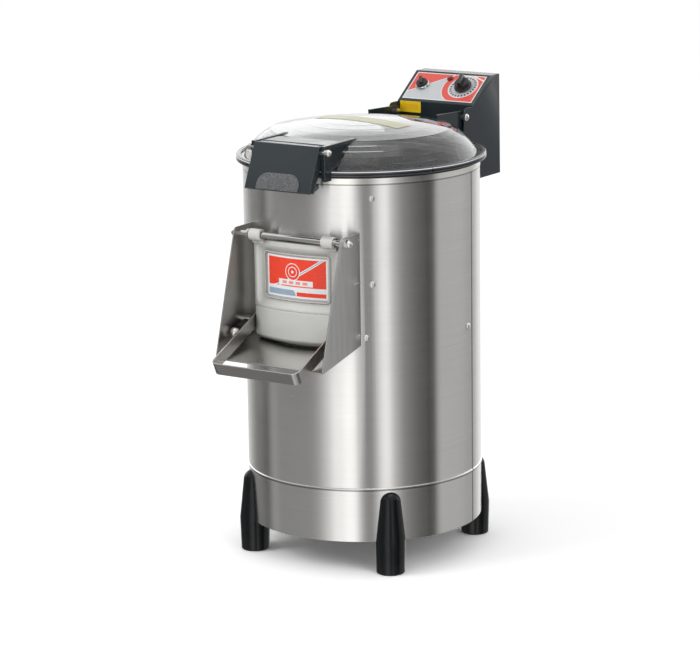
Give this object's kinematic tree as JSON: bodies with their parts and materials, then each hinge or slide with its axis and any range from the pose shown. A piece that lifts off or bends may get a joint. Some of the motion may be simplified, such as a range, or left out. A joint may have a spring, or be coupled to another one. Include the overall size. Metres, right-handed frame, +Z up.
{
  "type": "electric potato peeler",
  "caption": "Upright drum machine on four feet with an abrasive turntable, a clear hinged lid, a front discharge door over a chute, and a rear control box.",
  "frame": {"origin": "on the drum's axis at floor level, under the feet", "axes": "+Z up along the drum's axis; -Y towards the front, where the discharge door is; +X to the right of a person who faces the front"},
  "size_m": [0.443, 0.6992, 0.8219],
  "materials": {
    "shell_steel": "circumferentially brushed stainless steel",
    "inner_steel": "plain stainless sheet",
    "bright_steel": "polished or zinc-plated fasteners",
    "cast_metal": "fine sand-cast aluminium, satin",
    "foot_plastic": "black moulded plastic",
    "black_enamel": "black powder coat",
    "black_plastic": "black plastic",
    "clear_lid": "clear moulded plastic",
    "seal_rubber": "soft black rubber",
    "trim_plastic": "grey edging, glossy",
    "grit": "silicon-carbide abrasive",
    "cast_iron": "machined cast iron",
    "motor_paint": "blue-grey motor enamel",
    "panel_print": "silver printed plate",
    "lamp_red": "red lens",
    "pad_plastic": "textured grey pad",
    "part_plastic": "light switch housing"
  },
  "bodies": {
    "machine": {"outer_shell": "shell_steel", "base_skirt": "shell_steel", "rim_ring": "shell_steel", "chamber_wall": "inner_steel", "abrasive_lining": "grit", "chamber_floor": "inner_steel", "shell_screws": "bright_steel", "feet": "foot_plastic", "foot_bolts": "bright_steel", "bearing_housing": "cast_iron", "shaft_bearings": "bright_steel", "shaft_seal": "seal_rubber", "drive_belt": "seal_rubber", "motor_body": "motor_paint", "motor_top_cover": "motor_paint", "motor_terminal_box": "motor_paint", "motor_plate": "inner_steel", "drive_fixings": "bright_steel", "drain_elbow": "inner_steel", "water_inlet": "bright_steel", "wire_conduit": "inner_steel", "hinge_pins": "bright_steel", "hinge_rod": "bright_steel", "chute_fixings": "bright_steel", "chute": "inner_steel", "box_shell": "black_enamel", "box_back_cover": "black_enamel", "box_fixings": "bright_steel", "panel_overlay": "panel_print", "timer_unit": "part_plastic", "selector_unit": "bright_steel", "indicator_lamp": "lamp_red", "cable_gland": "black_plastic", "contactor": "part_plastic"},
    "spindle": {"turntable": "cast_metal", "abrasive_disc": "grit", "drive_shaft": "bright_steel", "shaft_fasteners": "bright_steel", "drum_pulley": "cast_iron"},
    "rotor": {"motor_rotor": "bright_steel", "motor_pulley": "cast_iron", "motor_fan": "black_plastic"},
    "lid": {"lid_dome": "clear_lid", "lid_gasket": "seal_rubber", "lid_edge_trim": "trim_plastic", "hinge_bracket": "black_enamel", "bracket_bolts": "bright_steel", "latch_bracket": "black_enamel", "latch_pin": "bright_steel"},
    "latch": {"latch_lever": "black_enamel", "thumb_pad": "pad_plastic"},
    "door": {"door_casting": "cast_metal", "door_gasket": "seal_rubber", "bail_pins": "bright_steel"},
    "bail_handle": {"bail": "shell_steel"},
    "door_lock": {"lock_lever": "bright_steel", "lever_grip": "black_plastic", "lever_ball": "bright_steel"},
    "timer_dial": {"timer_knob": "black_plastic"},
    "selector_switch": {"selector_knob": "black_plastic"}
  },
  "joints": [
    {"name": "lid_hinge", "type": "hinge", "parent": "machine", "child": "lid", "pos_m": [0, 0.2292, 0.751], "axis": [-1, 0, 0], "range_deg": [0, 95]},
    {"name": "latch_pivot", "type": "hinge", "parent": "lid", "child": "latch", "pos_m": [0, -0.226, 0.75], "axis": [-1, 0, 0], "range_deg": [0, 35]},
    {"name": "door_hinge", "type": "hinge", "parent": "machine", "child": "door", "pos_m": [0, -0.2232, 0.5963], "axis": [-1, 0, 0], "range_deg": [0, 80]},
    {"name": "bail_pivot", "type": "hinge", "parent": "door", "child": "bail_handle", "pos_m": [0, -0.204, 0.443], "axis": [-1, 0, 0], "range_deg": [0, 65]},
    {"name": "lock_lever_pivot", "type": "hinge", "parent": "machine", "child": "door_lock", "pos_m": [-0.0995, -0.211, 0.438], "axis": [-1, 0, 0], "range_deg": [0, 75]},
    {"name": "turntable_spin", "type": "hinge", "parent": "machine", "child": "spindle", "pos_m": [0, 0, 0.3], "axis": [0, 0, 1], "continuous": true},
    {"name": "motor_spin", "type": "hinge", "parent": "machine", "child": "rotor", "pos_m": [-0.128, 0, 0.26], "axis": [0, 0, 1], "continuous": true},
    {"name": "timer_turn", "type": "hinge", "parent": "machine", "child": "timer_dial", "pos_m": [0.04, 0.28383, 0.79879], "axis": [0, -0.5743, 0.8187], "range_deg": [0, 300]},
    {"name": "selector_turn", "type": "hinge", "parent": "machine", "child": "selector_switch", "pos_m": [-0.047, 0.28301, 0.79821], "axis": [0, -0.5743, 0.8187], "range_deg": [0, 90]}
  ],
  "couplings": [
    {"joint": "motor_spin", "follows": "turntable_spin", "ratio": 3.9545}
  ]
}
